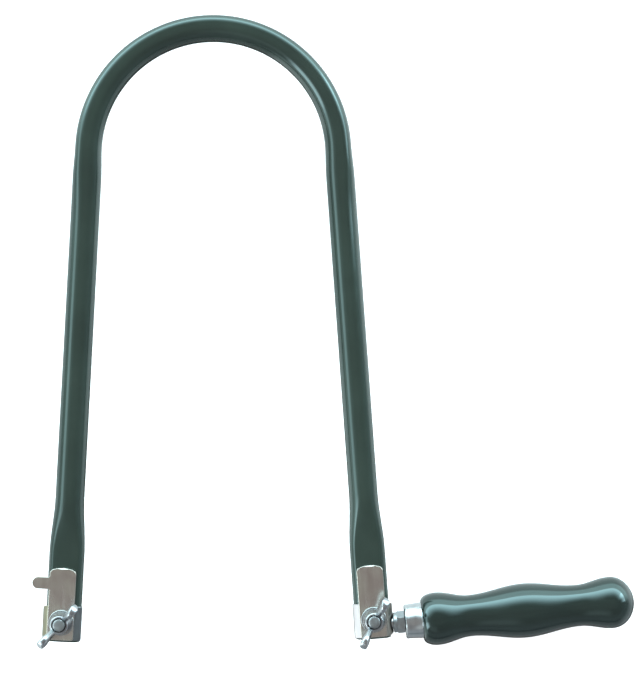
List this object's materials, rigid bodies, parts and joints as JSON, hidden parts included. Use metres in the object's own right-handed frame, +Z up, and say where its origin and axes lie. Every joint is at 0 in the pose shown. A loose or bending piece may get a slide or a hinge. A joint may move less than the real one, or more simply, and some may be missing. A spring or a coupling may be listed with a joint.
{
  "type": "fret saw",
  "caption": "Deep-throated fret saw with a bent tube bow, a wing-nut blade clamp at each tip and a turned wooden handle set square to one leg",
  "frame": {"origin": "middle of the base of the whole saw's box, as it lies flat with its wing nuts up", "axes": "+X runs from the front clamp towards the handle, +Y from the open ends of the bow towards its arch, +Z up through the flat side"},
  "size_m": [0.2503, 0.2639, 0.0313],
  "materials": {
    "tube_paint": "glossy dark green lacquer over steel tube",
    "saddle_zinc": "zinc plated sheet steel",
    "plate_nickel": "nickel plated sheet steel, satin",
    "bolt_zinc": "zinc plated steel, turned and threaded",
    "nut_zinc": "zinc plated malleable casting",
    "ferrule_nickel": "nickel plated drawn steel",
    "handle_lacquer": "turned beech under glossy dark green lacquer"
  },
  "bodies": {
    "bow": {"frame_tube": "tube_paint", "front_saddle": "saddle_zinc", "front_clamp_bolt": "bolt_zinc", "rear_saddle": "saddle_zinc", "rear_clamp_bolt": "bolt_zinc", "handle_stud": "bolt_zinc", "lock_nut": "bolt_zinc", "ferrule": "ferrule_nickel", "handle": "handle_lacquer"},
    "front_jaw": {"front_jaw_plate": "plate_nickel"},
    "front_washer_part": {"front_washer": "bolt_zinc"},
    "front_nut": {"front_wing_nut": "nut_zinc"},
    "rear_jaw": {"rear_jaw_plate": "plate_nickel"},
    "rear_washer_part": {"rear_washer": "bolt_zinc"},
    "rear_nut": {"rear_wing_nut": "nut_zinc"}
  },
  "joints": [
    {"name": "front_washer_rise", "type": "slide", "parent": "bow", "child": "front_washer_part", "axis": [0, 0, 1], "range_m": [0, 0.0024]},
    {"name": "front_nut_turn", "type": "hinge", "parent": "front_washer_part", "child": "front_nut", "pos_m": [-0.11315, -0.12073, 0.0186], "axis": [0, 0, 1], "range_deg": [0, 1080]},
    {"name": "front_jaw_tilt", "type": "hinge", "parent": "bow", "child": "front_jaw", "pos_m": [-0.11173, -0.09817, 0.01495], "axis": [-0.998, 0.0628, 0], "range_deg": [0, 5]},
    {"name": "rear_washer_rise", "type": "slide", "parent": "bow", "child": "rear_washer_part", "axis": [0, 0, 1], "range_m": [0, 0.0024]},
    {"name": "rear_nut_turn", "type": "hinge", "parent": "rear_washer_part", "child": "rear_nut", "pos_m": [0.01642, -0.1207, 0.0186], "axis": [0, 0, 1], "range_deg": [0, 1080]},
    {"name": "rear_jaw_tilt", "type": "hinge", "parent": "bow", "child": "rear_jaw", "pos_m": [0.0145, -0.09817, 0.01495], "axis": [-0.998, -0.0628, 0], "range_deg": [0, 5]}
  ],
  "couplings": [
    {"joint": "front_nut_turn", "follows": "front_washer_rise", "rad_per_m": 7854},
    {"joint": "front_jaw_tilt", "follows": "front_washer_rise", "rad_per_m": 33.557},
    {"joint": "rear_nut_turn", "follows": "rear_washer_rise", "rad_per_m": 7854},
    {"joint": "rear_jaw_tilt", "follows": "rear_washer_rise", "rad_per_m": 33.557}
  ]
}
